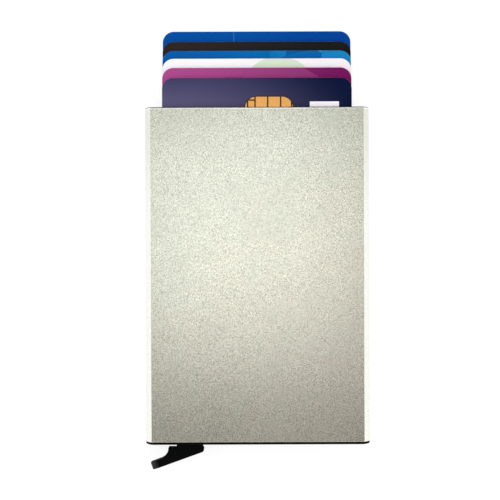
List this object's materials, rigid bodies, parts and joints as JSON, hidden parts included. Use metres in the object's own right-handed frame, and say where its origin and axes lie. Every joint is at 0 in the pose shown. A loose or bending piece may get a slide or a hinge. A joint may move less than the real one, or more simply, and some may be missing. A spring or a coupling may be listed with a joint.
{
  "type": "card holder",
  "caption": "Slim aluminium card holder: a sprung lever under its base turns a stepped arm that fans the cards out of the open end.",
  "frame": {"origin": "centre of the sleeve's flat back face, on which it lies", "axes": "+X across the sleeve, away from the lever's side; +Y along the sleeve towards the mouth; +Z out of the front face"},
  "size_m": [0.064, 0.1254, 0.008],
  "materials": {
    "anodised_aluminium": "bead-blasted and anodised in a pale champagne silver",
    "black_plastic": "moulded, fine texture",
    "steel": "bright drawn wire and pin",
    "soft_rubber": "soft moulded fins",
    "card_navy": "laminated, satin gloss",
    "card_magenta": "laminated, satin gloss",
    "card_white": "laminated, satin gloss",
    "card_sky": "laminated, satin gloss",
    "card_black": "laminated, satin gloss",
    "card_blue": "laminated, satin gloss",
    "chip_gold": "gold-plated contacts"
  },
  "bodies": {
    "holder": {"housing_tube": "anodised_aluminium", "base_cap": "black_plastic", "hinge_pin": "steel", "return_spring": "steel", "left_guide_rail": "black_plastic", "right_guide_rail": "black_plastic", "left_fin_strip": "soft_rubber", "right_fin_strip": "soft_rubber"},
    "lever": {"ejector_lever": "black_plastic"},
    "navy": {"navy_card": "card_navy", "navy_chip": "chip_gold"},
    "magenta": {"magenta_card": "card_magenta", "magenta_chip": "chip_gold"},
    "white": {"white_card": "card_white", "white_chip": "chip_gold"},
    "sky": {"sky_card": "card_sky", "sky_chip": "chip_gold"},
    "black": {"black_card": "card_black", "black_chip": "chip_gold"},
    "blue": {"blue_card": "card_blue", "blue_chip": "chip_gold"}
  },
  "joints": [
    {"name": "lever_press", "type": "hinge", "parent": "holder", "child": "lever", "pos_m": [-0.02, -0.0435, 0.004], "axis": [0, 0, 1], "range_deg": [0, 45], "stiffness_Nm_per_rad": 0.01, "springref_deg": -28.65, "deforming": ["return_spring"]},
    {"name": "navy_slide", "type": "slide", "parent": "holder", "child": "navy", "axis": [0, 1, 0], "range_m": [-0.01135, 0.06725]},
    {"name": "magenta_slide", "type": "slide", "parent": "holder", "child": "magenta", "axis": [0, 1, 0], "range_m": [-0.01435, 0.06425]},
    {"name": "white_slide", "type": "slide", "parent": "holder", "child": "white", "axis": [0, 1, 0], "range_m": [-0.01707, 0.06153]},
    {"name": "sky_slide", "type": "slide", "parent": "holder", "child": "sky", "axis": [0, 1, 0], "range_m": [-0.01943, 0.05917]},
    {"name": "black_slide", "type": "slide", "parent": "holder", "child": "black", "axis": [0, 1, 0], "range_m": [-0.02213, 0.05647]},
    {"name": "blue_slide", "type": "slide", "parent": "holder", "child": "blue", "axis": [0, 1, 0], "range_m": [-0.02521, 0.05339]}
  ]
}
